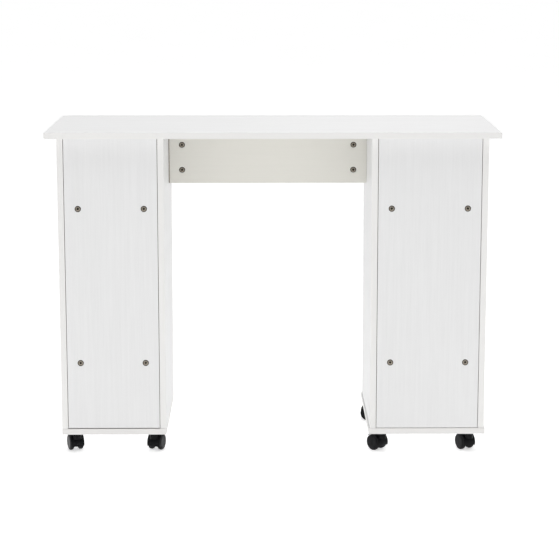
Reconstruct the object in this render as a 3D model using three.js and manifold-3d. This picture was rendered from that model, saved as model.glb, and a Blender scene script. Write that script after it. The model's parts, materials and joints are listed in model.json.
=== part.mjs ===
// A rolling sewing table: one long top on two pedestal cabinets, joined by an apron across the kneehole.
// The narrow cabinet holds three drawers and the wide one a shelf behind a door on pivot pins.
// Boards are 15 mm melamine-faced, pulled together by cam locks, and the cabinets stand on swivel casters.
//
// Millimetres. +Z is up, the origin is on the floor under the middle of the top, the sitter is at -Y,
// and the back of the table, with its cam locks, faces +Y.
import * as THREE from "three";
import { mergeVertices } from "three/addons/utils/BufferGeometryUtils.js";
import Module from "manifold-3d";

const wasm = await Module();
wasm.setup();

// ---------------------------------------------------------------- driving dimensions
const TOP_WIDTH = 1100;
const TOP_DEPTH = 400;
const BOARD = 15; // thickness of every board
const SIDE_HEIGHT = 725; // from the base board to the top
const CASTER_HEIGHT = 52; // from the floor to the base board
const CABINET_DEPTH = 345;
const DRAWER_CABINET_WIDTH = 258;
const DOOR_CABINET_WIDTH = 283;
const SIDE_OVERHANG = 27.5; // of the top past each cabinet
const BACK_OVERHANG = 25;
const DOOR_BASE_LIP = 2.5; // the door cabinet's base board is this much wider than its sides, each way
const SEAM = 0.3; // between boards that are pulled together
const BACK_SEAM = 1.1; // round a back panel, and at the shelf's ends
const BACK_LIFT = { drawer: 2, door: BACK_SEAM }; // from the base board to a back panel

const APRON = { height: 142, back: 219, gap: 2 }; // back: from the cabinets' back to the apron's back face
const SHELF = { height: 340, setback: 25 }; // above the base board, and behind the cabinet's front

const CAM = { radius: 7.2, depth: 12, clearance: 0.4, fromEnd: 34, low: 167.5, pitch: 384, facets: 20 };
const CAM_CROSS = { length: 8, width: 1.8, depth: 2.5 };
const APRON_CAM = { low: 34, pitch: 64 };

const DRAWERS = ["bottom", "middle", "top"];
const FRONT_GAP = 2.5; // round each drawer front and the door
const BOX = { wall: 12, height: 170, length: 290, side: 3, lift: 22, floor: 4, floorAt: 8 };
const GROOVE = { depth: 8, height: 17.5, up: 80 };
const RAIL = { thick: 10, height: 16.5, length: 285, setback: 2 };

const PIVOT = { radius: 3, clearance: 0.3, fromSide: 14.5, intoBoard: 8, intoDoor: 10 };
const DOOR_HINGE_GAP = 3;
const CATCH = { width: 42, depth: 13, height: 16, gap: 1 };
// A knob's radii, and its heights: rose and waist from the front, shoulder down from the crown.
const KNOB_RADIUS = { foot: 6.5, neck: 4.5, head: 13, crown: 9.1 };
const KNOB = { rose: 2, waist: 7, shoulder: 6, rim: 2, length: 22 };
const KNOB_FROM_EDGE = 34;
const DOOR_KNOB_UP = 0.74; // share of the door's height

const WHEEL = { radius: 20, inner: 6, outer: 17.5, facets: 24, rim: 1.5, dish: 1 };
const AXLE = { radius: 2.5, clearance: 0.3, into: 1 };
const TRAIL = 18; // from the swivel axis to the axle
const HOOD = { inner: 21, outer: 22.8, half: 17.2, web: 4, hub: 7, from: 50, to: 200, step: 10 };
const BOSS = { radius: 11, up: 4, top: 51 }; // up: its lower end, above the axle
const STEM = { radius: 4, clearance: 0.5, into: 13 };
const CASTER_INSET = 33; // from a cabinet's side, and from its front or back, to the swivel axis
// The direction that each caster trails in at rest, in degrees from +X.
const CASTERS = [
  { cabinet: "drawer", end: "back", side: "outer", trail: -68 },
  { cabinet: "drawer", end: "back", side: "inner", trail: -110 },
  { cabinet: "drawer", end: "front", side: "outer", trail: -80 },
  { cabinet: "drawer", end: "front", side: "inner", trail: -62 },
  { cabinet: "door", end: "back", side: "outer", trail: -62 },
  { cabinet: "door", end: "back", side: "inner", trail: -47 },
  { cabinet: "door", end: "front", side: "outer", trail: -115 },
  { cabinet: "door", end: "front", side: "inner", trail: -5 },
];

const FACETS = { pin: 16, axle: 12, boss: 20, arch: 28, knob: 16, curve: 3 };
const PAST = 1; // how far a cutter reaches past the face that it cuts, or a joined piece into the next
const MERGE = 1e-4; // corners closer than this are one

// ---------------------------------------------------------------- places worked out from them
const OUTER_X = TOP_WIDTH / 2 - SIDE_OVERHANG;
const BACK_Y = TOP_DEPTH / 2 - BACK_OVERHANG;
const FRONT_Y = BACK_Y - CABINET_DEPTH;
const BASE_TOP = CASTER_HEIGHT + BOARD;
const TOP_UNDER = BASE_TOP + SIDE_HEIGHT;
// Each cabinet's outer and inner face. The drawers' cabinet is at +X and the door's at -X.
const CABINETS = {
  drawer: { outward: 1, outer: OUTER_X, inner: OUTER_X - DRAWER_CABINET_WIDTH, lip: 0 },
  door: { outward: -1, outer: -OUTER_X, inner: -OUTER_X + DOOR_CABINET_WIDTH, lip: DOOR_BASE_LIP },
};
const PIVOT_X = -OUTER_X + BOARD + PIVOT.fromSide;
const PIVOT_Y = FRONT_Y + BOARD / 2;

// ---------------------------------------------------------------- materials
const plastic = (color, roughness) => new THREE.MeshStandardMaterial({ color, roughness, metalness: 0 });
const metal = (color, roughness) => new THREE.MeshStandardMaterial({ color, roughness, metalness: 1 });
const white = plastic(0xf1f1ef, 0.45);
const drawerWhite = plastic(0xe9e9e6, 0.6);
const black = plastic(0x1c1b1e, 0.4);
const zinc = metal(0x9a968c, 0.45);
const nickel = metal(0xb9b7b2, 0.3);
const railWhite = plastic(0xdededa, 0.5);

// ---------------------------------------------------------------- helpers
const table = new THREE.Group();

function add(name, geometry, material, parent = table) {
  const mesh = new THREE.Mesh(geometry, material);
  mesh.name = name;
  parent.add(mesh);
  return mesh;
}

// A box from its two limits along each axis.
function block([x0, x1], [y0, y1], [z0, z1]) {
  const geometry = new THREE.BoxGeometry(Math.abs(x1 - x0), Math.abs(y1 - y0), Math.abs(z1 - z0));
  return geometry.translate((x0 + x1) / 2, (y0 + y1) / 2, (z0 + z1) / 2);
}

// A cylinder round a line along one axis, centred on a point.
function rod(axis, radius, length, facets, [x, y, z]) {
  const geometry = new THREE.CylinderGeometry(radius, radius, length, facets);
  if (axis === "x") geometry.rotateZ(Math.PI / 2);
  if (axis === "z") geometry.rotateX(Math.PI / 2);
  return geometry.translate(x, y, z);
}

function solid(geometry) {
  const bare = geometry.clone();
  bare.deleteAttribute("normal");
  bare.deleteAttribute("uv");
  const merged = mergeVertices(bare, MERGE);
  return new wasm.Manifold(
    new wasm.Mesh({
      numProp: 3,
      vertProperties: merged.attributes.position.array,
      triVerts: new Uint32Array(merged.index.array),
    }),
  );
}

function geometryOf(made) {
  const mesh = made.getMesh();
  return new THREE.BufferGeometry()
    .setAttribute("position", new THREE.BufferAttribute(new Float32Array(mesh.vertProperties), 3))
    .setIndex(new THREE.BufferAttribute(new Uint32Array(mesh.triVerts), 1))
    .toNonIndexed();
}

// The first geometry with the others cut out of it.
function cut(geometry, cutters) {
  return geometryOf(cutters.reduce((made, cutter) => made.subtract(solid(cutter)), solid(geometry)));
}

// ---------------------------------------------------------------- cam locks
// A cam lock is a short zinc drum, flush with the board's back face, with a cross recess in its head.
function camLock(name, x, faceY, z) {
  const drum = rod("y", CAM.radius, CAM.depth, CAM.facets, [0, -CAM.depth / 2, 0]);
  const reach = [-CAM_CROSS.depth, PAST];
  const long = [-CAM_CROSS.length / 2, CAM_CROSS.length / 2];
  const narrow = [-CAM_CROSS.width / 2, CAM_CROSS.width / 2];
  const cross = [block(long, reach, narrow), block(narrow, reach, long)];
  add(name, cut(drum, cross), zinc).position.set(x, faceY - CAM.clearance, z);
}

// The blind hole that a cam lock sits in.
function camHole(x, faceY, z) {
  const depth = CAM.depth + 2 * CAM.clearance;
  return rod("y", CAM.radius + CAM.clearance, 2 * depth, CAM.facets, [x, faceY, z]);
}

// ---------------------------------------------------------------- top and apron
function tableTop() {
  const slab = block(
    [-TOP_WIDTH / 2, TOP_WIDTH / 2],
    [-TOP_DEPTH / 2, TOP_DEPTH / 2],
    [TOP_UNDER, TOP_UNDER + BOARD],
  );
  add("table_top", cut(slab, [pivotHole(TOP_UNDER)]), white);
}

function apron() {
  const ends = [CABINETS.door.inner + SEAM, CABINETS.drawer.inner - APRON.gap];
  const face = BACK_Y - APRON.back;
  const low = TOP_UNDER - APRON.height;
  const cams = [];
  for (const [place, x] of [
    ["door_end", CABINETS.door.inner + CAM.fromEnd],
    ["drawer_end", CABINETS.drawer.inner - CAM.fromEnd],
  ]) {
    for (const [level, up] of [["lower", 0], ["upper", APRON_CAM.pitch]]) {
      const z = low + APRON_CAM.low + up;
      camLock(`cam_lock_apron_${place}_${level}`, x, face, z);
      cams.push(camHole(x, face, z));
    }
  }
  const board = block(ends, [face - BOARD, face], [low, TOP_UNDER - SEAM]);
  add("kneehole_apron", cut(board, cams), white);
}

// ---------------------------------------------------------------- cabinets
function swivelPoint({ cabinet, end, side }) {
  const { outward, outer, inner } = CABINETS[cabinet];
  return [
    side === "outer" ? outer - outward * CASTER_INSET : inner + outward * CASTER_INSET,
    end === "back" ? BACK_Y - CASTER_INSET : FRONT_Y + CASTER_INSET,
  ];
}

function cabinet(kind) {
  const { outward, outer, inner, lip } = CABINETS[kind];
  const name = `${kind}_cabinet`;
  const height = [BASE_TOP + SEAM, TOP_UNDER - SEAM];
  const backHeight = [BASE_TOP + BACK_LIFT[kind], TOP_UNDER - BACK_SEAM];
  const depth = [FRONT_Y, BACK_Y];
  add(`${name}_outer_side`, block([outer - outward * BOARD, outer], depth, height), white);
  add(`${name}_inner_side`, block([inner, inner + outward * BOARD], depth, height), white);

  const ends = {
    inner: inner + outward * BOARD,
    outer: outer - outward * BOARD,
  };
  const cams = [];
  for (const [end, x] of [
    ["inner", ends.inner + outward * CAM.fromEnd],
    ["outer", ends.outer - outward * CAM.fromEnd],
  ]) {
    for (const [level, up] of [["lower", 0], ["upper", CAM.pitch]]) {
      const z = BASE_TOP + CAM.low + up;
      camLock(`cam_lock_${kind}_${end}_${level}`, x, BACK_Y, z);
      cams.push(camHole(x, BACK_Y, z));
    }
  }
  const across = [ends.inner + outward * BACK_SEAM, ends.outer - outward * BACK_SEAM];
  add(`${name}_back`, cut(block(across, [BACK_Y - BOARD, BACK_Y], backHeight), cams), white);

  const holes = CASTERS.filter((caster) => caster.cabinet === kind).map(stemHole);
  if (kind === "door") holes.push(pivotHole(BASE_TOP));
  const footprint = [inner - outward * lip, outer + outward * lip];
  const base = block(footprint, depth, [CASTER_HEIGHT, BASE_TOP]);
  add(`${name}_base`, cut(base, holes), white);
}

// The bore through a base board that a caster's stem turns in.
function stemHole(caster) {
  const [x, y] = swivelPoint(caster);
  const middle = CASTER_HEIGHT + BOARD / 2;
  return rod("z", STEM.radius + STEM.clearance, 2 * BOARD, FACETS.pin, [x, y, middle]);
}

// ---------------------------------------------------------------- drawers
// A drawer is a front, a knob, and a box of three walls and a floor that is open to the front.
// Each side of the box has a groove along it, which slides on a rail fixed to the cabinet's side.
function drawer(place, index) {
  const { inner, outer } = CABINETS.drawer;
  const opening = [inner + BOARD, outer - BOARD];
  const frontHeight = (SIDE_HEIGHT - (DRAWERS.length + 1) * FRONT_GAP) / DRAWERS.length;
  const low = BASE_TOP + FRONT_GAP + index * (frontHeight + FRONT_GAP);
  const across = [opening[0] + FRONT_GAP, opening[1] - FRONT_GAP];
  const name = `${place}_drawer`;
  add(`${name}_front`, block(across, [FRONT_Y, FRONT_Y + BOARD], [low, low + frontHeight]), white);
  knob(`${name}_knob`, (opening[0] + opening[1]) / 2, low + frontHeight / 2);

  const walls = [opening[0] + BOX.side, opening[1] - BOX.side];
  const length = [FRONT_Y + BOARD + SEAM, FRONT_Y + BOARD + BOX.length];
  const bottom = low + BOX.lift;
  const inside = [walls[0] + BOX.wall, walls[1] - BOX.wall];
  const hollow = [length[0] - PAST, length[1] - BOX.wall];
  const grooveAt = bottom + GROOVE.up;
  const groove = [grooveAt - GROOVE.height / 2, grooveAt + GROOVE.height / 2];
  const through = [length[0] - PAST, length[1] + PAST];
  const cutters = [
    block(inside, hollow, [bottom + BOX.floorAt + BOX.floor, bottom + BOX.height + PAST]),
    block(inside, hollow, [bottom - PAST, bottom + BOX.floorAt]),
    block([walls[0] - PAST, walls[0] + GROOVE.depth], through, groove),
    block([walls[1] - GROOVE.depth, walls[1] + PAST], through, groove),
  ];
  add(`${name}_box`, cut(block(walls, length, [bottom, bottom + BOX.height]), cutters), drawerWhite);

  const railHeight = [grooveAt - RAIL.height / 2, grooveAt + RAIL.height / 2];
  const railLength = [length[0] + RAIL.setback, length[0] + RAIL.setback + RAIL.length];
  const innerRail = [opening[0] + SEAM, opening[0] + RAIL.thick];
  const outerRail = [opening[1] - RAIL.thick, opening[1] - SEAM];
  add(`${name}_rail_inner`, block(innerRail, railLength, railHeight), railWhite);
  add(`${name}_rail_outer`, block(outerRail, railLength, railHeight), railWhite);
}

// A turned knob that stands on a front, from its foot to a domed head.
function knob(name, x, z) {
  const { foot, neck, head, crown } = KNOB_RADIUS;
  const { rose, waist, shoulder, rim, length } = KNOB;
  const under = length - shoulder;
  const outline = new THREE.Path();
  outline.moveTo(0, 0);
  outline.lineTo(foot, 0);
  outline.lineTo(foot, rose);
  outline.quadraticCurveTo(neck, (rose + waist) / 2, neck, waist);
  outline.quadraticCurveTo(neck, (waist + under) / 2, head, under);
  outline.lineTo(head, under + rim);
  outline.quadraticCurveTo(crown, length, 0, length);
  const turned = new THREE.LatheGeometry(outline.getPoints(FACETS.curve), FACETS.knob);
  add(name, turned.rotateX(Math.PI).rotateY(Math.PI), nickel).position.set(x, FRONT_Y - SEAM, z);
}

// ---------------------------------------------------------------- door, its pivots, catch and shelf
function pivotHole(z) {
  const { radius, clearance, intoBoard } = PIVOT;
  return rod("z", radius + clearance, 2 * (intoBoard + PAST), FACETS.pin, [PIVOT_X, PIVOT_Y, z]);
}

function door() {
  const { inner, outer } = CABINETS.door;
  const free = inner - BOARD - FRONT_GAP;
  const hinged = outer + BOARD + DOOR_HINGE_GAP;
  const height = [BASE_TOP + FRONT_GAP, TOP_UNDER - FRONT_GAP];
  const bore = { radius: PIVOT.radius + PIVOT.clearance, length: 2 * (PIVOT.intoDoor + PAST) };
  const bores = height.map((z) =>
    rod("z", bore.radius, bore.length, FACETS.pin, [PIVOT_X, PIVOT_Y, z]),
  );
  const panel = block([hinged, free], [FRONT_Y, FRONT_Y + BOARD], height);
  add("door_panel", cut(panel, bores), white);
  const up = height[0] + DOOR_KNOB_UP * (height[1] - height[0]);
  knob("door_knob", free - KNOB_FROM_EDGE, up);

  const pinLength = PIVOT.intoBoard + FRONT_GAP + PIVOT.intoDoor;
  const middle = (PIVOT.intoDoor - PIVOT.intoBoard + FRONT_GAP) / 2;
  for (const [level, z] of [["lower", BASE_TOP + middle], ["upper", TOP_UNDER - middle]]) {
    const pin = rod("z", PIVOT.radius, pinLength, FACETS.pin, [PIVOT_X, PIVOT_Y, z]);
    add(`door_pivot_pin_${level}`, pin, nickel);
  }

  const behind = FRONT_Y + BOARD + CATCH.gap;
  const catchX = [free - CATCH.width, free];
  const catchY = [behind, behind + CATCH.depth];
  const catchZ = [TOP_UNDER - SEAM - CATCH.height, TOP_UNDER - SEAM];
  add("door_catch", block(catchX, catchY, catchZ), railWhite);
}

function shelf() {
  const { inner, outer } = CABINETS.door;
  const across = [outer + BOARD + BACK_SEAM, inner - BOARD - BACK_SEAM];
  const depth = [FRONT_Y + SHELF.setback, BACK_Y - BOARD - BACK_SEAM];
  const low = BASE_TOP + SHELF.height;
  add("door_cabinet_shelf", block(across, depth, [low, low + BOARD]), white);
}

// ---------------------------------------------------------------- casters
// In a caster's own frame the swivel axis is Z, the floor is at 0 and it trails along +X.

// Two wheels on one axle. A flat of each tread is underneath, at the wheel's true radius.
function wheelPair() {
  const tread = WHEEL.radius / Math.cos(Math.PI / WHEEL.facets);
  const turn = Math.PI / WHEEL.facets;
  const wheel = (side) => {
    const outline = [
      new THREE.Vector2(0, WHEEL.inner),
      new THREE.Vector2(tread, WHEEL.inner),
      new THREE.Vector2(tread, WHEEL.outer - WHEEL.rim),
      new THREE.Vector2(tread - WHEEL.rim, WHEEL.outer),
      new THREE.Vector2(0, WHEEL.outer - WHEEL.dish),
    ];
    const disc = new THREE.LatheGeometry(outline, WHEEL.facets).rotateY(turn);
    return solid(side > 0 ? disc : disc.rotateX(Math.PI));
  };
  const axle = rod("y", AXLE.radius, 2 * (WHEEL.inner + AXLE.into), FACETS.axle, [0, 0, 0]);
  const pair = wheel(1).add(wheel(-1)).add(solid(axle));
  return geometryOf(pair).translate(TRAIL, 0, WHEEL.radius);
}

// The hood arches over both wheels on the swivel's side, with a web between them that carries the axle.
function hood() {
  const outline = new THREE.Shape();
  const { hub } = HOOD;
  for (let angle = HOOD.from; angle <= HOOD.to; angle += HOOD.step) {
    const radians = THREE.MathUtils.degToRad(angle);
    const [u, v] = [HOOD.outer * Math.cos(radians), HOOD.outer * Math.sin(radians)];
    if (angle === HOOD.from) outline.moveTo(u, v);
    else outline.lineTo(u, v);
  }
  outline.lineTo(-hub, -hub);
  outline.lineTo(hub, -hub);
  outline.lineTo(hub, hub);
  outline.closePath();
  const arch = new THREE.ExtrudeGeometry(outline, { depth: 2 * HOOD.half, bevelEnabled: false });
  arch.rotateX(Math.PI / 2).translate(TRAIL, HOOD.half, WHEEL.radius);

  const bossLow = WHEEL.radius + BOSS.up;
  const bossMiddle = (bossLow + BOSS.top) / 2;
  const boss = rod("z", BOSS.radius, BOSS.top - bossLow, FACETS.boss, [0, 0, bossMiddle]);
  const stemLow = BOSS.top - PAST;
  const stemTop = CASTER_HEIGHT + STEM.into;
  const stemMiddle = (stemLow + stemTop) / 2;
  const stem = rod("z", STEM.radius, stemTop - stemLow, FACETS.pin, [0, 0, stemMiddle]);
  const bore = rod("y", AXLE.radius + AXLE.clearance, 4 * HOOD.web, FACETS.axle, [TRAIL, 0, WHEEL.radius]);
  const room = (side) => {
    const width = HOOD.half + HOOD.web;
    const middle = side * (HOOD.web + width / 2);
    return solid(rod("y", HOOD.inner, width, FACETS.arch, [TRAIL, middle, WHEEL.radius]));
  };
  const shell = solid(arch).add(solid(boss)).subtract(room(1)).subtract(room(-1));
  return geometryOf(shell.subtract(solid(bore)).add(solid(stem)));
}

function casters() {
  const shapes = { hood: hood(), wheels: wheelPair() };
  for (const caster of CASTERS) {
    const place = `${caster.cabinet}_${caster.end}_${caster.side}`;
    const group = new THREE.Group();
    group.position.set(...swivelPoint(caster), 0);
    group.rotation.z = THREE.MathUtils.degToRad(caster.trail);
    add(`caster_hood_${place}`, shapes.hood, black, group);
    add(`caster_wheels_${place}`, shapes.wheels, black, group);
    table.add(group);
  }
}

tableTop();
apron();
cabinet("drawer");
cabinet("door");
DRAWERS.forEach(drawer);
door();
shelf();
casters();

export default table;
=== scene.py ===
"""The looks of the sewing table: white melamine boards, zinc cam locks, nickel knobs and black casters."""

import json
import math

import bmesh
import bpy
from mathutils import Matrix, Vector


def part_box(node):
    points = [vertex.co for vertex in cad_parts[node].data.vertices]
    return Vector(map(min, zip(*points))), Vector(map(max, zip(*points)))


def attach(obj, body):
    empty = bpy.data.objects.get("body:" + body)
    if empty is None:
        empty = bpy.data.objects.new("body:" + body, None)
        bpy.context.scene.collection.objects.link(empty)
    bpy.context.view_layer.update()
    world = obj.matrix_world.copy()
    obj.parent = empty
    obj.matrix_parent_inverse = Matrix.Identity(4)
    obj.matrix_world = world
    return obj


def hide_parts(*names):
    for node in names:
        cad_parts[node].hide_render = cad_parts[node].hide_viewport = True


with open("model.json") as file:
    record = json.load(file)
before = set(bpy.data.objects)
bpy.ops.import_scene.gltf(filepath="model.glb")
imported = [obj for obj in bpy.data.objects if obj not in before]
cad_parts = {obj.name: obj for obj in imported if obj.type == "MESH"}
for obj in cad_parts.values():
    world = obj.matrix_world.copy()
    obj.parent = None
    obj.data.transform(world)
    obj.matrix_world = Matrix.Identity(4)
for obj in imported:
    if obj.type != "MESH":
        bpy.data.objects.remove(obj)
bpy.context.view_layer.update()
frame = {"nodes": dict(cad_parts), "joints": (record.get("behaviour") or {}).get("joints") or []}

MM = 0.001
JOINTS = {joint["name"]: joint for joint in frame["joints"]}
NODES = sorted(frame["nodes"])
AXES = {"x": Vector((1, 0, 0)), "y": Vector((0, 1, 0)), "z": Vector((0, 0, 1))}
SHARP_ANGLE = math.radians(32)
CORNER_ANGLE = math.radians(60)  # for softening a piece's squarer corners and no others
DRAWERS = ("bottom_drawer", "middle_drawer", "top_drawer")
# Sizes that a material's look follows as well as a mesh.
CAM_RADIUS = 7.2 * MM
WHEEL_RADIUS = 20 * MM


# ---------------------------------------------------------------- node helpers
class Shader:
    """A material's node tree, with short calls that add a node and return its output socket."""

    def __init__(self, name):
        self.material = bpy.data.materials.new(name)
        self.material.use_nodes = True
        self.tree = self.material.node_tree
        self.bsdf = next(n for n in self.tree.nodes if n.type == "BSDF_PRINCIPLED")
        self.coordinates = self.tree.nodes.new("ShaderNodeTexCoord")

    def add(self, kind, inputs=(), **settings):
        """A new node of a kind, with its inputs fed and its settings made."""
        node = self.tree.nodes.new("ShaderNode" + kind)
        for key, value in settings.items():
            setattr(node, key, value)
        for key, value in dict(inputs).items():
            self.feed(node.inputs[key], value)
        return node

    def feed(self, socket, value):
        """Links another node's output to a socket, or writes a plain value in it."""
        if isinstance(value, bpy.types.NodeSocket):
            self.tree.links.new(value, socket)
        else:
            socket.default_value = value

    def set(self, **values):
        """Sets the surface shader's own sockets, such as base_color, to values or outputs."""
        for key, value in values.items():
            name = key.replace("_", " ").title().replace("Ior", "IOR")
            self.feed(self.bsdf.inputs[name], value)

    def stretched(self, scale):
        """The object's own coordinates in metres, scaled along each axis."""
        place = {"Vector": self.coordinates.outputs["Object"], "Scale": scale}
        return self.add("Mapping", place).outputs["Vector"]

    def along(self, grain, along, across):
        """The object's own coordinates, drawn out along one axis so that noise makes streaks."""
        return self.stretched([along if axis == grain else across for axis in "xyz"])

    def noise(self, scale, vector=None, detail=3.0, roughness=0.55):
        """Fractal noise, in the object's own coordinates unless a vector is given."""
        vector = vector or self.coordinates.outputs["Object"]
        inputs = {"Vector": vector, "Scale": scale, "Detail": detail, "Roughness": roughness}
        return self.add("TexNoise", inputs).outputs["Fac"]

    def between(self, value, low, high, at=(0.35, 0.65)):
        """Maps a value from the range given by at to the one from low to high, and stops at its ends."""
        inputs = {"Value": value, "From Min": at[0], "From Max": at[1], "To Min": low, "To Max": high}
        return self.add("MapRange", inputs).outputs["Result"]

    def mix(self, factor, first, second):
        """A colour between two, each of them an output or three numbers."""
        node = self.add("Mix", {"Factor": factor}, data_type="RGBA")
        for name, color in (("A_Color", first), ("B_Color", second)):
            socket = next(s for s in node.inputs if s.identifier == name)
            self.feed(socket, color if isinstance(color, bpy.types.NodeSocket) else (*color, 1))
        return next(s for s in node.outputs if s.identifier == "Result_Color")

    def from_axis(self):
        """How far a point of the surface is from the object's own Z axis."""
        parts = self.add("SeparateXYZ", {"Vector": self.coordinates.outputs["Object"]}).outputs
        flat = self.add("CombineXYZ", {"X": parts["X"], "Y": parts["Y"]}).outputs[0]
        return self.add("VectorMath", {"Vector": flat}, operation="LENGTH").outputs["Value"]

    def math(self, operation, *values):
        """The result of one operation on outputs or numbers."""
        node = self.add("Math", operation=operation)
        for socket, value in zip(node.inputs, values):
            self.feed(socket, value)
        return node.outputs[0]

    def bump(self, height, distance, strength):
        """Gives the surface a fine relief."""
        inputs = {"Height": height, "Distance": distance, "Strength": strength}
        self.set(normal=self.add("Bump", inputs).outputs["Normal"])


# ---------------------------------------------------------------- materials
PLAIN = (1, 1, 1)
EDGING = (1, 0.992, 0.975)
CREAM = (0.96, 0.944, 0.875)
GREY_EDGING = (0.955, 0.942, 0.925)
# How light the melamine is: on its face, how much less in the grain, in a pore and in a cloud,
# and at the two ends of its edging.
FACE_WHITE, GRAIN_DEPTH, PORE_WHITE, CLOUD_WHITE = 0.822, 0.032, 0.73, 0.8
EDGE_WHITES = (0.835, 0.85)
FACING = 0.9  # a face whose normal has this much of an axis looks along it
EDGE_FACING = 0.6  # the same for an edge, which takes in part of its rounding


def tinted(tint, level):
    """A tint at a lightness."""
    return tuple(level * part for part in tint)


def chipboard(made):
    """The colour of sawn chipboard."""
    chips = made.noise(420.0, detail=3.0, roughness=0.7)
    return made.mix(made.between(chips, 0, 1), (0.1, 0.075, 0.05), (0.3, 0.23, 0.16))


def raw_chipboard():
    """A board's sawn end."""
    made = Shader("raw_chipboard")
    made.set(base_color=chipboard(made), roughness=made.between(made.noise(900.0), 0.8, 0.95))
    made.bump(made.noise(600.0, detail=4.0), 0.2 * MM, 0.6)
    return made.material


def melamine(name, thickness, grain, tint=PLAIN, edging=EDGING, depth=1.0, bare=""):
    """White melamine with a faint pressed wood grain on a board's faces and an edging round it.

    The board's thickness runs along one axis and its grain along another. Bare edges, which face
    along the named axes and show only in a seam, are sawn chipboard."""
    made = Shader(name)
    figure = made.noise(1.0, made.along(grain, 5.0, 170.0), detail=4.0, roughness=0.6)
    pores = made.noise(1.0, made.along(grain, 14.0, 520.0), detail=2.0)
    cloud = made.noise(2.3, detail=1.0)

    parts = made.add("SeparateXYZ", {"Vector": made.coordinates.outputs["Normal"]})
    turned_to = made.math("ABSOLUTE", parts.outputs[thickness.upper()])
    on_face = made.math("GREATER_THAN", turned_to, FACING)

    shade = made.between(figure, 0, 1)
    streak = made.mix(shade, tinted(tint, FACE_WHITE - GRAIN_DEPTH * depth), tinted(tint, FACE_WHITE))
    pored = made.mix(made.between(pores, 0, 0.3 * depth, (0.5, 0.72)), streak, tinted(tint, PORE_WHITE))
    clouded = made.mix(made.between(cloud, 0, 0.3), pored, tinted(tint, CLOUD_WHITE))
    edge = made.mix(made.between(cloud, 0, 1), *(tinted(edging, white) for white in EDGE_WHITES))
    for axis in bare:
        toward = made.math("ABSOLUTE", parts.outputs[axis.upper()])
        edge = made.mix(made.math("GREATER_THAN", toward, EDGE_FACING), edge, chipboard(made))
    made.set(base_color=made.mix(on_face, edge, clouded))
    made.set(roughness=made.between(pores, 0.38, 0.52), specular_ior_level=0.4)
    height = made.math("MULTIPLY", made.math("ADD", pores, figure), on_face)
    made.bump(height, 0.05 * MM, 0.35)
    return made.material


def drawer_board():
    """Foil-wrapped board in matt white, printed with a fine linen weave."""
    made = Shader("drawer_board")
    weave = made.noise(1.0, made.stretched((900, 60, 900)), detail=1.0)
    weft = made.noise(1.0, made.stretched((60, 900, 60)), detail=1.0)
    thread = made.math("MAXIMUM", weave, weft)
    cloud = made.noise(6.0, detail=2.0)
    tint = made.mix(made.between(thread, 0, 1, (0.45, 0.7)), (0.76, 0.76, 0.74), (0.84, 0.84, 0.82))
    made.set(base_color=made.mix(made.between(cloud, 0, 0.2), tint, (0.88, 0.88, 0.87)))
    made.set(roughness=made.between(thread, 0.55, 0.7))
    made.bump(thread, 0.04 * MM, 0.4)
    return made.material


def hardboard():
    """Thin hardboard, lacquered white on top and bare brown underneath."""
    made = Shader("hardboard")
    parts = made.add("SeparateXYZ", {"Vector": made.coordinates.outputs["Normal"]})
    upper = made.math("GREATER_THAN", parts.outputs["Z"], 0.5)
    fibre = made.noise(260.0, detail=6.0, roughness=0.7)
    brown = made.mix(made.between(fibre, 0, 1), (0.16, 0.085, 0.04), (0.3, 0.18, 0.1))
    white = made.mix(made.between(fibre, 0, 1), (0.8, 0.8, 0.78), (0.86, 0.86, 0.85))
    made.set(base_color=made.mix(upper, brown, white), roughness=made.between(fibre, 0.5, 0.7))
    made.bump(fibre, 0.05 * MM, 0.3)
    return made.material


def black_nylon(name, dark, light, worn_radius=None):
    """Moulded black nylon, clouded between two blacks.

    A wheel's tread, past the worn radius, is scuffed dull and grey."""
    made = Shader(name)
    texture = made.noise(1400.0, detail=2.0)
    cloud = made.noise(90.0, detail=3.0)
    color = made.mix(made.between(cloud, 0, 1), dark, light)
    roughness = made.between(cloud, 0.28, 0.4)
    if worn_radius:
        tread = made.between(made.from_axis(), 0, 1, (worn_radius - 0.4 * MM, worn_radius))
        scuffs = made.noise(1.0, made.stretched((500, 500, 60)), detail=4.0, roughness=0.7)
        worn = made.math("MULTIPLY", tread, made.between(scuffs, 0.1, 0.8, (0.4, 0.7)))
        color = made.mix(worn, color, (0.026, 0.025, 0.024))
        roughness = made.math("ADD", roughness, made.math("MULTIPLY", worn, 0.3))
    made.set(base_color=color, roughness=roughness, specular_ior_level=0.1)
    made.bump(texture, 0.03 * MM, 0.3)
    return made.material


def metal(name, dark, light, roughness, grain):
    """Bare or plated metal whose finish runs along the stretched grain."""
    made = Shader(name)
    lines = made.noise(1.0, made.stretched(grain), detail=4.0, roughness=0.6)
    cloud = made.noise(160.0, detail=3.0)
    mottled = made.math("MULTIPLY", lines, made.between(cloud, 0.8, 1.2))
    made.set(base_color=made.mix(made.between(mottled, 0, 1), dark, light))
    made.set(metallic=1.0, roughness=made.between(mottled, roughness[0], roughness[1]))
    made.bump(lines, 0.02 * MM, 0.4)
    return made.material


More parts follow.
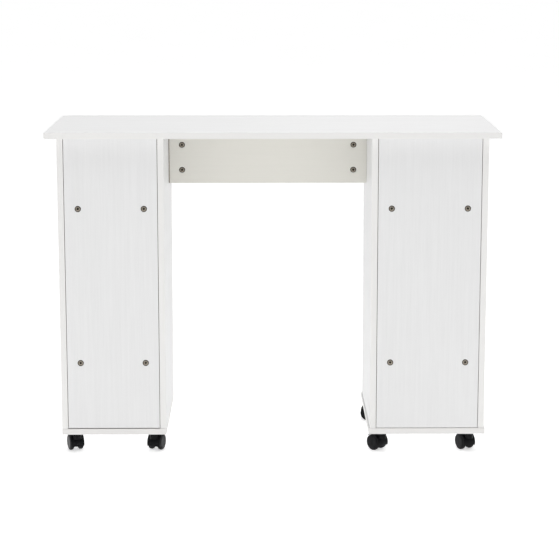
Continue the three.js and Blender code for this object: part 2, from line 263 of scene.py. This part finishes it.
def die_cast_zinc():
    """Dull die-cast zinc, with painted shade near black at a lock's sloping rim, for the shadow in the gap
    round it, and down in its recesses.
    """
    made = Shader("die_cast_zinc")
    blotches = made.noise(700.0, detail=4.0, roughness=0.65)
    parts = made.add("SeparateXYZ", {"Vector": made.coordinates.outputs["Object"]})
    # Painted shade: the ring at the rim and the recesses below the face are masked, for the shadow in the
    # hole's gap and in the cross.
    rim = made.between(made.from_axis(), 0, 1, (CAM_RADIUS - 1.7 * MM, CAM_RADIUS - 1.1 * MM))
    deep = made.between(parts.outputs["Z"], 1, 0, (-0.9 * MM, -0.3 * MM))
    dark = made.math("MAXIMUM", rim, deep)
    cast = made.mix(made.between(blotches, 0, 1), (0.13, 0.112, 0.088), (0.46, 0.415, 0.345))
    # The near-black colour mixed in by that mask is painted shade, not the zinc's own colour.
    made.set(base_color=made.mix(dark, cast, (0.014, 0.011, 0.008)))
    made.set(metallic=1.0, roughness=made.between(blotches, 0.32, 0.5))
    made.bump(blotches, 0.04 * MM, 0.5)
    return made.material


def white_plastic():
    """White moulded plastic with a fine spark-eroded texture."""
    made = Shader("white_plastic")
    texture = made.noise(1600.0, detail=2.0)
    cloud = made.noise(40.0, detail=2.0)
    made.set(base_color=made.mix(made.between(cloud, 0, 1), (0.74, 0.74, 0.72), (0.8, 0.8, 0.78)))
    made.set(roughness=made.between(texture, 0.42, 0.55))
    made.bump(texture, 0.03 * MM, 0.3)
    return made.material


def pale_floor(glow):
    """White acrylic, lit a little from below, as on a photographer's light table."""
    made = Shader("pale_floor")
    cloud = made.noise(1.5, detail=2.0)
    made.set(base_color=made.mix(made.between(cloud, 0, 1), (0.93, 0.93, 0.93), (0.95, 0.95, 0.95)))
    made.set(roughness=0.9, specular_ior_level=0.1, emission_strength=glow)
    made.set(emission_color=(1, 1, 1, 1))
    return made.material


DRAWER_BOARD = drawer_board()
HARDBOARD = hardboard()
NYLON = black_nylon("black_nylon", (0.002, 0.002, 0.003), (0.005, 0.005, 0.006))
WORN_RADIUS = WHEEL_RADIUS - 0.6 * MM
# The wheels' blacks are lighter than the hood's: painted sheen, for the light that the wheels' caps catch.
WHEEL_NYLON = black_nylon("wheel_nylon", (0.005, 0.005, 0.006), (0.014, 0.014, 0.016), WORN_RADIUS)
ZINC = die_cast_zinc()
NICKEL = metal("satin_nickel", (0.5, 0.48, 0.45), (0.66, 0.64, 0.6), (0.22, 0.34), (60, 60, 2600))
STEEL = metal("turned_steel", (0.42, 0.42, 0.42), (0.6, 0.6, 0.6), (0.25, 0.4), (60, 60, 3000))
WHITE_PLASTIC = white_plastic()


# ---------------------------------------------------------------- mesh helpers
def finished(made, name, smooth=True):
    """A mesh from a bmesh, with its faces pointing out and its sharp edges kept sharp."""
    bmesh.ops.recalc_face_normals(made, faces=made.faces)
    mesh = bpy.data.meshes.new(name)
    made.to_mesh(mesh)
    made.free()
    if smooth:
        mesh.shade_smooth()
        mesh.set_sharp_from_angle(angle=SHARP_ANGLE)
    return mesh


def softened(made, width, segments=3, angle=SHARP_ANGLE):
    """Rounds every edge of a bmesh that is sharper than an angle."""
    edges = [e for e in made.edges if e.is_manifold and e.calc_face_angle() > angle]
    bmesh.ops.bevel(made, geom=edges, offset=width, segments=segments, profile=0.5, affect="EDGES")
    return made


def turned(outline, steps=64):
    """A body turned round Z from (radius, height) points that begin and end on the axis."""
    made = bmesh.new()
    rings = []
    for radius, height in outline:
        count = steps if radius > 0 else 1
        turn = [2 * math.pi * i / count for i in range(count)]
        rings.append([made.verts.new((radius * math.cos(a), radius * math.sin(a), height)) for a in turn])
    for low, high in zip(rings, rings[1:]):
        for i in range(steps):
            j = (i + 1) % steps
            corners = (low[i % len(low)], low[j % len(low)], high[j % len(high)], high[i % len(high)])
            made.faces.new(list(dict.fromkeys(corners)))
    return made


def extruded(outline, low, high):
    """A prism between two places along Y, from (x, z) points."""
    made = bmesh.new()
    ends = [[made.verts.new((x, y, z)) for x, z in outline] for y in (low, high)]
    for end in ends:
        made.faces.new(end)
    for i in range(len(outline)):
        j = (i + 1) % len(outline)
        made.faces.new((ends[0][i], ends[0][j], ends[1][j], ends[1][i]))
    bmesh.ops.recalc_face_normals(made, faces=made.faces)
    return made


def plank(low, high):
    """A box between two corners."""
    outline = [(low[0], low[2]), (high[0], low[2]), (high[0], high[2]), (low[0], high[2])]
    return extruded(outline, low[1], high[1])


def joined(*parts):
    """One bmesh that holds all the given ones."""
    whole = bmesh.new()
    for part in parts:
        mesh = bpy.data.meshes.new("part")
        part.to_mesh(mesh)
        part.free()
        whole.from_mesh(mesh)
        bpy.data.meshes.remove(mesh)
    return whole


def carved(body, cutter):
    """The first bmesh with the second cut out of it."""
    tools = []
    for made in (body, cutter):
        tool = bpy.data.objects.new("tool", finished(made, "tool", smooth=False))
        bpy.context.scene.collection.objects.link(tool)
        tools.append(tool)
    cut = tools[0].modifiers.new("cut", "BOOLEAN")
    cut.object = tools[1]
    cut.solver = "EXACT"
    bpy.context.view_layer.update()
    seen = tools[0].evaluated_get(bpy.context.evaluated_depsgraph_get())
    result = bmesh.new()
    result.from_mesh(seen.to_mesh())
    for tool in tools:
        mesh = tool.data
        bpy.data.objects.remove(tool)
        bpy.data.meshes.remove(mesh)
    return result


def add(name, mesh, material, body, place=None, replaces=()):
    """Puts a piece in the scene: its look, the body it rides on, and the CAD nodes it stands for."""
    if not mesh.materials:
        mesh.materials.append(material)
    piece = bpy.data.objects.new(name, mesh)
    bpy.context.scene.collection.objects.link(piece)
    piece.matrix_world = place or Matrix.Identity(4)
    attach(piece, body)
    if replaces:
        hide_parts(*replaces)
    return piece


def facing(direction, at):
    """The place of a piece made along +Z that is to point along a direction, with its X kept level."""
    z = Vector(direction).normalized()
    side = AXES["z"].cross(z)
    x = side.normalized() if side.length > 0.01 else AXES["x"]
    turn = Matrix((x, z.cross(x), z)).transposed()
    return Matrix.Translation(at) @ turn.to_4x4()


# ---------------------------------------------------------------- boards
# Each board's thickness runs along one axis and its grain along another.
BOARDS = {
    "table_top": ("z", "x"),
    "kneehole_apron": ("y", "x"),
    "door_cabinet_shelf": ("z", "x"),
    "door_panel": ("y", "z"),
}
for cabinet in ("drawer_cabinet", "door_cabinet"):
    BOARDS[f"{cabinet}_outer_side"] = ("x", "z")
    BOARDS[f"{cabinet}_inner_side"] = ("x", "z")
    BOARDS[f"{cabinet}_back"] = ("y", "z")
    BOARDS[f"{cabinet}_base"] = ("z", "x")
for drawer in DRAWERS:
    BOARDS[f"{drawer}_front"] = ("y", "z")
EDGE_ROUND = 0.5 * MM


def round_edges(node, width):
    """Softens a CAD solid's sharp edges by a hair, as a real piece's are."""
    weld = node.modifiers.new("weld", "WELD")
    weld.merge_threshold = 0.02 * MM
    bevel = node.modifiers.new("round", "BEVEL")
    bevel.width = width
    bevel.segments = 2
    bevel.limit_method = "ANGLE"
    bevel.angle_limit = math.radians(40)
    bevel.use_clamp_overlap = True


def board_look(name, looks):
    """A board's melamine. The apron's is creamier than the rest, and the base boards' edging is greyer."""
    if name == "kneehole_apron":
        return looks["apron"]
    if name.endswith("_back"):
        return looks["back"]
    if name.endswith("_base"):
        return looks["base"]
    return looks[BOARDS[name]]


def boards():
    """Gives every board its melamine and softens its edges."""
    looks = {way: melamine("melamine_" + "_".join(way), *way) for way in sorted(set(BOARDS.values()))}
    looks["apron"] = melamine("melamine_apron", "y", "x", CREAM, depth=0.3, bare="x")
    looks["back"] = melamine("melamine_back", "y", "z", depth=0.8, bare="xz")
    looks["base"] = melamine("melamine_base", "z", "x", edging=GREY_EDGING)
    for name in BOARDS:
        node = frame["nodes"][name]
        node.material_slots[0].material = board_look(name, looks)
        round_edges(node, EDGE_ROUND)


def apron_end():
    """The apron's sawn end, which fills most of the gap between it and the drawers' cabinet."""
    low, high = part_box("kneehole_apron")
    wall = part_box("drawer_cabinet_inner_side")[0].x
    clear = 0.1 * MM
    end = plank(
        (high.x, low.y + EDGE_ROUND, low.z + EDGE_ROUND),
        (wall - clear, high.y - EDGE_ROUND, high.z - EDGE_ROUND),
    )
    add("kneehole_apron_end", finished(end, "apron_end"), raw_chipboard(), "table")


# ---------------------------------------------------------------- cam locks
CAM_DEPTH = 12 * MM


def cross_cutter(length, width, depth, top):
    """The two arms of a cross that narrows downwards, as a driver's tip does."""
    tip_length, tip_width = 0.45, 0.6  # shares of the arm's own
    arms = []
    for turn in (0, math.pi / 2):
        arm = plank((-length / 2, -width / 2, top - depth), (length / 2, width / 2, top + depth))
        for vert in arm.verts:
            if vert.co.z < top:
                vert.co.x *= tip_length
                vert.co.y *= tip_width
        bmesh.ops.rotate(arm, verts=arm.verts, matrix=Matrix.Rotation(turn, 3, "Z"))
        arms.append(arm)
    return arms


def cam_lock_mesh():
    """A die-cast drum with a sloping rim, and a round well in its face with a cross cut through it."""
    face = [
        (0, -CAM_DEPTH),
        (CAM_RADIUS, -CAM_DEPTH),
        (CAM_RADIUS, -1.2 * MM),
        (CAM_RADIUS - 0.6 * MM, -0.7 * MM),
        (CAM_RADIUS - 1.3 * MM, -0.2 * MM),
        (CAM_RADIUS - 1.7 * MM, 0),
        (2.5 * MM, 0),
        (2.1 * MM, -1.6 * MM),
        (0, -1.6 * MM),
    ]
    drum = turned(face, 48)
    for arm in cross_cutter(8.8 * MM, 2.5 * MM, 2.6 * MM, 0):
        drum = carved(drum, arm)
    return finished(drum, "cam_lock")


def cam_locks():
    """A lock in each of its holes, with its cross turned a little off upright."""
    mesh = cam_lock_mesh()
    most, stride = 25, 37  # degrees off upright, and from one node to the next
    for name in NODES:
        if name.startswith("cam_lock"):
            low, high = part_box(name)
            face = Vector(((low.x + high.x) / 2, high.y, (low.z + high.z) / 2))
            degrees = NODES.index(name) * stride % (2 * most) - most
            place = facing(AXES["y"], face) @ Matrix.Rotation(math.radians(degrees), 4, "Z")
            add(f"{name}_drum", mesh, ZINC, "table", place, [name])


# ---------------------------------------------------------------- casters
# A caster is made with its swivel axis on Z, the floor at 0 and its trail along +X.
WHEEL_OUT = 17.5 * MM
WHEEL_IN = 6.4 * MM
HOOD_IN = 21 * MM
HOOD_OUT = 22.8 * MM
HOOD_HALF = 17.2 * MM
HOOD_FROM, HOOD_TO = 50, 200
WEB_HALF = 3.8 * MM
COLLAR_TOP = 51 * MM
AXLE_RADIUS = 2.5 * MM


def arc(radius, start, end, steps):
    """Points on a circle in the XZ plane, with angles in degrees from +X."""
    turns = [math.radians(start + (end - start) * i / steps) for i in range(steps + 1)]
    return [(radius * math.cos(a), radius * math.sin(a)) for a in turns]


def joint_point(name):
    """A point on a joint's axis."""
    return Vector(JOINTS[name]["pos_m"])


def trail(place):
    """The level way from a caster's swivel axis to its wheels' axle."""
    return (joint_point(f"caster_spin_{place}") - joint_point(f"caster_swivel_{place}")).xy


TRAIL = trail("door_back_outer").length  # all eight are alike


def wheel_mesh():
    """A wheel round Z: hollow inside with a hub, a rounded tread, and a smooth dished cap outside."""
    r, out, inner = WHEEL_RADIUS, WHEEL_OUT, WHEEL_IN
    outline = [(0, inner), (5 * MM, inner), (5.2 * MM, inner + 6 * MM)]
    outline += [(15.2 * MM, inner + 6 * MM), (15.5 * MM, inner + 0.3 * MM), (16 * MM, inner)]
    outline += [(r - 2.6 * MM, inner + 0.5 * MM), (r - 1 * MM, inner + 1.8 * MM), (r, inner + 4 * MM)]
    outline.append((r, out - 3 * MM))
    shoulder = 2.2 * MM
    steps = 6
    for i in range(1, steps + 1):
        turn = math.pi / 2 * i / steps
        outline.append((r - shoulder * (1 - math.cos(turn)), out - 3 * MM + shoulder * math.sin(turn)))
    outline += [(17.3 * MM, out - 0.5 * MM), (17.1 * MM, out - 1 * MM), (16.8 * MM, out - 1 * MM)]
    outline += [(16.6 * MM, out - 0.6 * MM), (15.6 * MM, out - 0.1 * MM), (12 * MM, out)]
    outline += [(6 * MM, out - 0.3 * MM), (0, out - 0.4 * MM)]
    return finished(turned(outline, 72), "caster_wheel")


def hood_mesh():
    """The arch over the wheels, its web, and the boss that holds the stem, all round edged."""
    centre_of_wheel = Vector((TRAIL, 0, WHEEL_RADIUS))
    shell = extruded(
        arc(HOOD_OUT, HOOD_FROM, HOOD_TO, 36) + arc(HOOD_IN, HOOD_TO, HOOD_FROM, 36),
        -HOOD_HALF,
        HOOD_HALF,
    )
    softened(shell, 0.6 * MM, angle=CORNER_ANGLE)
    hub = 6.5 * MM
    web_top = arc(HOOD_OUT - 0.4 * MM, HOOD_FROM + 2, HOOD_TO - 2, 30)
    web = extruded(web_top + [(-hub, -hub), (hub, -hub), (hub, hub)], -WEB_HALF, WEB_HALF)
    softened(web, 0.5 * MM, 2, CORNER_ANGLE)
    for part in (shell, web):
        bmesh.ops.translate(part, verts=part.verts, vec=centre_of_wheel)

    top, foot = COLLAR_TOP, WHEEL_RADIUS + 12 * MM
    side = [(10.6 * MM, foot), (10.8 * MM, top - 4 * MM), (10.6 * MM, top - 1.6 * MM)]
    side += [(10 * MM, top - 0.5 * MM), (9 * MM, top)]
    collar = turned([(0, foot), *side, (0, top)], 48)
    # The collar's foot is lifted into the shell wherever it would hang below it, over the wheels.
    lining = HOOD_IN + 0.6 * MM
    for vert in collar.verts:
        ahead = vert.co.x - TRAIL
        if vert.co.z < foot + 1 * MM and math.hypot(ahead, vert.co.z - WHEEL_RADIUS) < lining:
            vert.co.z = WHEEL_RADIUS + math.sqrt(lining**2 - ahead**2)
    return finished(joined(shell, web, collar), "caster_hood")


def stem_mesh(top):
    """The steel pin that turns in the base board, with a snap ring's groove near its end."""
    low, radius = COLLAR_TOP - 1 * MM, 4 * MM
    outline = [(0, low), (radius, low), (radius, top - 4.4 * MM), (radius - 0.6 * MM, top - 4 * MM)]
    outline += [(radius - 0.6 * MM, top - 3 * MM), (radius, top - 2.6 * MM), (radius, top - 0.8 * MM)]
    outline += [(radius - 0.8 * MM, top), (0, top)]
    return finished(turned(outline, 32), "caster_stem")


def axle_mesh():
    """The pin between the two wheels' hubs."""
    half = WHEEL_IN + 4 * MM
    outline = [(0, -half), (AXLE_RADIUS - 0.3 * MM, -half), (AXLE_RADIUS, 0.3 * MM - half)]
    outline += [(AXLE_RADIUS, half - 0.3 * MM), (AXLE_RADIUS - 0.3 * MM, half), (0, half)]
    return finished(turned(outline, 32), "caster_axle")


def flange_mesh():
    """The thin steel washer pressed into the base board round a caster's stem."""
    low, high = COLLAR_TOP + 0.15 * MM, COLLAR_TOP + 0.95 * MM
    hole, rim = 4.6 * MM, 9 * MM
    section = [(hole, low), (rim - 0.4 * MM, low), (rim, low + 0.3 * MM), (rim, high), (hole, high)]
    made = bmesh.new()
    steps = 48
    rings = []
    for i in range(steps):
        turn = 2 * math.pi * i / steps
        x, y = math.cos(turn), math.sin(turn)
        rings.append([made.verts.new((x * radius, y * radius, z)) for radius, z in section])
    for i in range(steps):
        here, there = rings[i], rings[(i + 1) % steps]
        for j in range(len(section)):
            k = (j + 1) % len(section)
            made.faces.new((here[j], there[j], there[k], here[k]))
    return finished(made, "caster_flange")


def casters():
    """Eight casters: each has a hood and stem that swivel, and two wheels that turn on an axle."""
    places = [name[len("caster_swivel_"):] for name in JOINTS if name.startswith("caster_swivel_")]
    stem_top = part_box(f"caster_hood_{places[0]}")[1].z
    hood, wheel, axle = hood_mesh(), wheel_mesh(), axle_mesh()
    stem, flange = stem_mesh(stem_top), flange_mesh()
    for place in places:
        swivel = joint_point(f"caster_swivel_{place}")
        hub = joint_point(f"caster_spin_{place}")
        behind = trail(place)
        turn = Matrix.Rotation(math.atan2(behind.y, behind.x), 4, "Z")
        stand = Matrix.Translation((swivel.x, swivel.y, 0)) @ turn
        fork, roller = f"caster_fork_{place}", f"caster_roller_{place}"
        hood_node, wheels_node = f"caster_hood_{place}", f"caster_wheels_{place}"
        add(f"{hood_node}_shell", hood, NYLON, fork, stand, [hood_node])
        add(f"caster_stem_{place}", stem, STEEL, fork, stand)
        add(f"caster_flange_{place}", flange, STEEL, "table", stand)
        sideways = Vector(JOINTS[f"caster_spin_{place}"]["axis"])
        for side, way in (("left", 1), ("right", -1)):
            there = facing(sideways * way, hub)
            name = f"caster_wheel_{place}_{side}"
            # The left wheel stands for the CAD node of both.
            replaced = [wheels_node] if side == "left" else []
            add(name, wheel, WHEEL_NYLON, roller, there, replaced)
        add(f"caster_axle_{place}", axle, STEEL, roller, facing(sideways, hub))


# ---------------------------------------------------------------- knobs
def knob_mesh():
    """A turned knob on +Z: a small rose, a waisted neck and a softly domed head."""
    # In millimetres.
    rose = [(0, 0), (7.4, 0), (7.4, 1.1), (7, 1.6), (6.2, 1.8)]
    waist = []
    waist_steps = 12
    for i in range(waist_steps + 1):
        t = i / waist_steps
        waist.append((4.2 + 1.6 * (1 - t) ** 3 + 7.2 * t**4, 2.2 + 12.6 * t))
    head = [(12.7, 15.4), (13, 16.2), (13, 17.4), (12.7, 18.1)]
    dome = []
    dome_steps = 10
    for i in range(1, dome_steps + 1):
        turn = math.pi / 2 * i / dome_steps
        dome.append((12.5 * math.cos(turn), 18.3 + 3.6 * math.sin(turn)))
    dome[-1] = (0, dome[-1][1])
    outline = [(r * MM, z * MM) for r, z in rose + waist + head + dome]
    return finished(turned(outline, 72), "knob")


def knobs():
    """A knob on each drawer's front and on the door."""
    mesh = knob_mesh()
    for name in NODES:
        if name.endswith("_knob"):
            low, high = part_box(name)
            foot = Vector(((low.x + high.x) / 2, high.y, (low.z + high.z) / 2))
            body = name[: -len("_knob")]
            add(f"{name}_turned", mesh, NICKEL, body, facing(-AXES["y"], foot), [name])


# ---------------------------------------------------------------- drawer boxes
BOX_WALL = 12 * MM
BOX_FLOOR = 4 * MM
BOX_FLOOR_AT = 8 * MM
SLOT_DEPTH = 2 * MM
SLOT_PLAY = 0.1 * MM
FLOOR_TONGUE = 1.8 * MM  # how far the floor goes into each side's slot
GROOVE_DEPTH = 8 * MM
GROOVE_SPARE = 0.5 * MM


def grooved_side(low, high, outward, groove):
    """A drawer's side: the rail's groove runs along its outer face and the floor's along its inner one."""
    outer, inner = (high.x, low.x) if outward > 0 else (low.x, high.x)
    deep = outer - outward * GROOVE_DEPTH
    slot_end = inner + outward * SLOT_DEPTH
    slot = [low.z + BOX_FLOOR_AT, low.z + BOX_FLOOR_AT + BOX_FLOOR]
    outline = [
        (outer, low.z),
        (outer, groove[0]),
        (deep, groove[0]),
        (deep, groove[1]),
        (outer, groove[1]),
        (outer, high.z),
        (inner, high.z),
        (inner, slot[1]),
        (slot_end, slot[1]),
        (slot_end, slot[0]),
        (inner, slot[0]),
        (inner, low.z),
    ]
    return softened(extruded(outline, low.y, high.y), 0.4 * MM, 2, CORNER_ANGLE)


def drawer_boxes():
    """Each box is two sides, a back and a thin floor."""
    for drawer in DRAWERS:
        node = f"{drawer}_box"
        low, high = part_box(node)
        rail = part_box(f"{drawer}_rail_inner")
        groove = (rail[0].z - GROOVE_SPARE, rail[1].z + GROOVE_SPARE)
        inner_side = grooved_side(low, Vector((low.x + BOX_WALL, high.y, high.z)), -1, groove)
        outer_side = grooved_side(Vector((high.x - BOX_WALL, low.y, low.z)), high, 1, groove)
        left, right = low.x + BOX_WALL, high.x - BOX_WALL
        floor_under = low.z + BOX_FLOOR_AT
        floor_top = floor_under + BOX_FLOOR
        back = plank((left, high.y - BOX_WALL, floor_top), (right, high.y, high.z))
        softened(back, 0.4 * MM, 2)
        floor = plank(
            (left - FLOOR_TONGUE, low.y, floor_under + SLOT_PLAY),
            (right + FLOOR_TONGUE, high.y, floor_top - SLOT_PLAY),
        )
        softened(floor, 0.3 * MM, 2)
        parts = {"side_inner": inner_side, "side_outer": outer_side, "back": back}
        for part, made in parts.items():
            mesh = finished(made, f"{node}_{part}")
            add(f"{node}_{part}", mesh, DRAWER_BOARD, drawer, replaces=[node])
        mesh = finished(floor, f"{node}_floor")
        add(f"{node}_floor", mesh, HARDBOARD, drawer, replaces=[node])


# ---------------------------------------------------------------- rails, catch, pins and shelf studs
SCREW_HEAD = 3.4 * MM
RAIL_SCREWS = (0.1, 0.5, 0.9)  # shares of a rail's length
PLATE_OUT = 0.45 * MM  # how far the catch's plate stands off the door


def screw_mesh():
    """A countersunk screw's head, flush at Z 0, with a cross recess."""
    outline = [(0, -2.2 * MM), (1.4 * MM, -2.2 * MM), (SCREW_HEAD, -0.3 * MM), (SCREW_HEAD, 0)]
    outline += [(SCREW_HEAD - 0.4 * MM, 0.25 * MM), (0, 0.3 * MM)]
    head = turned(outline, 32)
    for arm in cross_cutter(3.6 * MM, 0.9 * MM, 1.3 * MM, 0.3 * MM):
        head = carved(head, arm)
    return finished(head, "screw_head")


def rails(screw):
    """The drawers' rails, each held to the cabinet's side by three screws."""
    for name in NODES:
        if "_rail_" not in name:
            continue
        node = frame["nodes"][name]
        node.material_slots[0].material = WHITE_PLASTIC
        round_edges(node, 1.2 * MM)
        low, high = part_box(name)
        inward = 1 if name.endswith("inner") else -1
        face = high.x if inward > 0 else low.x
        for i, share in enumerate(RAIL_SCREWS):
            at = Vector((face, low.y + share * (high.y - low.y), (low.z + high.z) / 2))
            place = facing(AXES["x"] * inward, at)
            add(f"{name}_screw_{i + 1}", screw, STEEL, "table", place)


def pivot_pins():
    """The two steel pins that the door turns on."""
    for level in ("lower", "upper"):
        node = frame["nodes"][f"door_pivot_pin_{level}"]
        node.material_slots[0].material = STEEL
        round_edges(node, 0.4 * MM)


def door_catch(screw):
    """A magnetic catch under the top: a plastic case with two steel poles, and a plate on the door."""
    node = frame["nodes"]["door_catch"]
    node.material_slots[0].material = WHITE_PLASTIC
    round_edges(node, 1 * MM)
    low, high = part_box("door_catch")
    pole_out, pole_in = 0.35 * MM, 4.5 * MM
    for i, z in enumerate((low.z + pole_in, high.z - pole_in)):
        pole = plank(
            (low.x + 6 * MM, low.y - pole_out, z - 0.8 * MM),
            (high.x - 6 * MM, low.y + 4 * MM, z + 0.8 * MM),
        )
        mesh = finished(softened(pole, 0.15 * MM, 2), f"catch_pole_{i + 1}")
        add(f"catch_pole_{i + 1}", mesh, STEEL, "table")
    door_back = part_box("door_panel")[1].y
    plate = plank(
        (low.x + 4 * MM, door_back - 0.4 * MM, low.z + 2 * MM),
        (high.x - 3 * MM, door_back + PLATE_OUT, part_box("door_panel")[1].z - 1 * MM),
    )
    mesh = finished(softened(plate, 0.2 * MM, 2), "catch_plate")
    add("catch_plate", mesh, STEEL, "door")
    for side, x in (("left", low.x + 3 * MM), ("right", high.x - 3 * MM)):
        at = Vector((x, (low.y + high.y) / 2, low.z))
        add(f"catch_screw_{side}", screw, STEEL, "table", facing(-AXES["z"], at))
    at = Vector(((low.x + high.x) / 2, door_back + PLATE_OUT, low.z + 6.5 * MM))
    add("catch_plate_screw", screw, STEEL, "door", facing(AXES["y"], at))


def stud_mesh():
    """A shelf stud on +Z: a flange against the board and a short round peg."""
    # In millimetres.
    outline = [(0, -4), (2.5, -4), (2.5, 0), (4.2, 0), (4.5, 0.4), (4.5, 1.1), (4.1, 1.5), (2.6, 1.6)]
    outline += [(2.5, 8), (2.1, 8.5), (0, 8.6)]
    return finished(turned([(r * MM, z * MM) for r, z in outline], 32), "shelf_stud")


def shelf_studs():
    """Four studs under the shelf, two in each of the cabinet's sides."""
    mesh = stud_mesh()
    low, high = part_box("door_cabinet_shelf")
    walls = (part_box("door_cabinet_outer_side")[1].x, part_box("door_cabinet_inner_side")[0].x)
    radius, inset = 2.5 * MM, 37 * MM
    for side, x, way in (("outer", walls[0], 1), ("inner", walls[1], -1)):
        for end, y in (("front", low.y + inset), ("back", high.y - inset)):
            place = facing(AXES["x"] * way, Vector((x, y, low.z - radius)))
            add(f"shelf_stud_{side}_{end}", mesh, NICKEL, "table", place)


# ---------------------------------------------------------------- stage, light and camera
AMBIENT = 0.5
FLOOR_GLOW = 0.53
FLOOR_HALF = 60


def stage():
    """A pale floor under an evenly lit white sky."""
    floor = bmesh.new()
    bmesh.ops.create_grid(floor, x_segments=1, y_segments=1, size=FLOOR_HALF)
    mesh = finished(floor, "floor", smooth=False)
    mesh.materials.append(pale_floor(FLOOR_GLOW))
    plane = bpy.data.objects.new("floor", mesh)
    bpy.context.scene.collection.objects.link(plane)

    world = bpy.data.worlds.new("studio")
    world.use_nodes = True
    sky = world.node_tree.nodes["Background"]
    sky.inputs["Color"].default_value = (1, 1, 1, 1)
    sky.inputs["Strength"].default_value = AMBIENT
    bpy.context.scene.world = world
    bpy.context.scene.view_settings.view_transform = "Standard"


SOFTBOXES = (
    # (name, place, size, watts)
    ("overhead", (-0.1, 0.0, 3.9), 3.0, 76),
    ("back_fill", (2.6, 4.2, 2.8), 2.0, 14),
    ("front_fill", (-1.2, -4.2, 3.0), 3.0, 9),
)


def lights():
    """Square softboxes that all face the middle of the table."""
    aim = Vector((0, 0, 0.45))
    for name, place, size, watts in SOFTBOXES:
        lamp = bpy.data.lights.new(name, "AREA")
        lamp.shape = "SQUARE"
        lamp.size = size
        lamp.energy = watts
        box = bpy.data.objects.new(name, lamp)
        box.location = place
        box.rotation_mode = "QUATERNION"
        box.rotation_quaternion = (aim - Vector(place)).to_track_quat("-Z", "Y")
        bpy.context.scene.collection.objects.link(box)


CAMERA_AT = Vector((0.017, 4.253, 1.275))
CAMERA_PITCH = 9.25
CAMERA_YAW = -0.46
CAMERA_LENS = 109.6
CAMERA_SHIFT = -0.12


def camera():
    """The camera stands behind the table, a little above its top, and looks down at it."""
    made = bpy.data.cameras.new("camera")
    made.lens = CAMERA_LENS
    made.sensor_width = 36
    made.shift_y = CAMERA_SHIFT
    made.clip_end = 100
    eye = bpy.data.objects.new("camera", made)
    pitch, yaw = math.radians(CAMERA_PITCH), math.radians(CAMERA_YAW)
    level = Vector((math.sin(yaw), -math.cos(yaw), 0)) * math.cos(pitch)
    eye.location = CAMERA_AT
    eye.rotation_mode = "QUATERNION"
    eye.rotation_quaternion = (level - AXES["z"] * math.sin(pitch)).to_track_quat("-Z", "Y")
    bpy.context.scene.collection.objects.link(eye)
    bpy.context.scene.camera = eye


camera()
stage()
lights()
boards()
apron_end()
cam_locks()
casters()
knobs()
drawer_boxes()
screw = screw_mesh()
rails(screw)
pivot_pins()
door_catch(screw)
shelf_studs()
